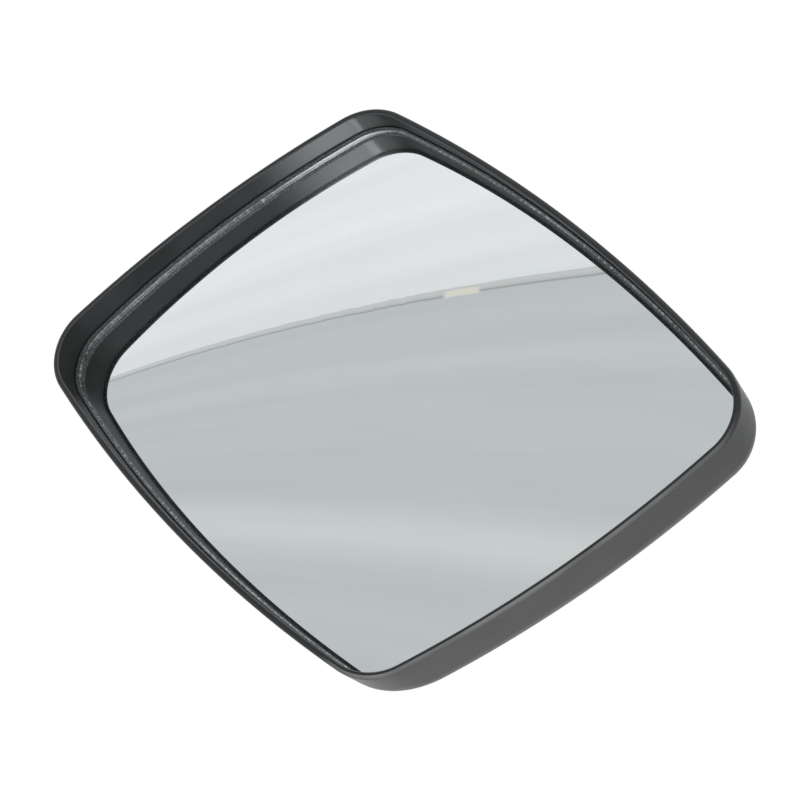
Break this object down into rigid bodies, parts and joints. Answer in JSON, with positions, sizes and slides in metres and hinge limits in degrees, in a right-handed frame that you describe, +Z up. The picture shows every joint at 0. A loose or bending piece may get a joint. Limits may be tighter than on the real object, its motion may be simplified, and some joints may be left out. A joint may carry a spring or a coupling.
{
  "type": "convex_mirror_head",
  "caption": "Convex mirror head: slanted black housing, recessed domed glass, ball joint and arm clamp.",
  "frame": {"origin": "on the axis of the arm that the clamp grips, half way up the clamp", "axes": "+X to the right seen from the front, +Y from the glass towards the arm, +Z up along the arm"},
  "size_m": [0.2876, 0.1199, 0.2072],
  "materials": {
    "housing": "textured",
    "glass": "polished",
    "foam": "matte",
    "rubber": "matte",
    "nylon": "satin",
    "cast": "satin",
    "zinc": "satin"
  },
  "bodies": {
    "clamp": {"clamp_base": "housing", "clamp_cap": "housing", "arm_liner_front": "rubber", "arm_liner_rear": "rubber", "clamp_bolt_left": "zinc", "clamp_bolt_right": "zinc", "clamp_washer_left": "zinc", "clamp_washer_right": "zinc", "clamp_nut_left": "zinc", "clamp_nut_right": "zinc"},
    "stud": {"ball_stud": "cast", "wave_washer": "zinc", "stud_nut": "zinc"},
    "seat": {"ball_seat_front": "nylon", "ball_seat_rear": "nylon"},
    "head": {"housing_shell": "housing", "mirror_glass": "glass", "bonding_pad": "foam", "glass_frame": "housing", "socket_cup": "zinc", "socket_gasket": "rubber", "socket_ring": "housing", "frame_screw_1": "zinc", "frame_screw_2": "zinc", "frame_screw_3": "zinc", "frame_screw_4": "zinc", "ring_screw_1": "zinc", "ring_screw_2": "zinc", "ring_screw_3": "zinc", "ring_screw_4": "zinc", "spring_washer_1": "zinc", "spring_washer_2": "zinc", "spring_washer_3": "zinc", "spring_washer_4": "zinc", "ring_nut_1": "zinc", "ring_nut_2": "zinc", "ring_nut_3": "zinc", "ring_nut_4": "zinc"}
  },
  "joints": [
    {"name": "stud_turn", "type": "hinge", "parent": "clamp", "child": "stud", "pos_m": [0, -0.0466, 0], "axis": [0, 1, 0], "range_deg": [-90, 90]},
    {"name": "pan", "type": "hinge", "parent": "stud", "child": "seat", "pos_m": [0, -0.0466, 0], "axis": [0, 0, 1], "range_deg": [-18, 18]},
    {"name": "tilt", "type": "hinge", "parent": "seat", "child": "head", "pos_m": [0, -0.0466, 0], "axis": [1, 0, 0], "range_deg": [-18, 18]}
  ]
}
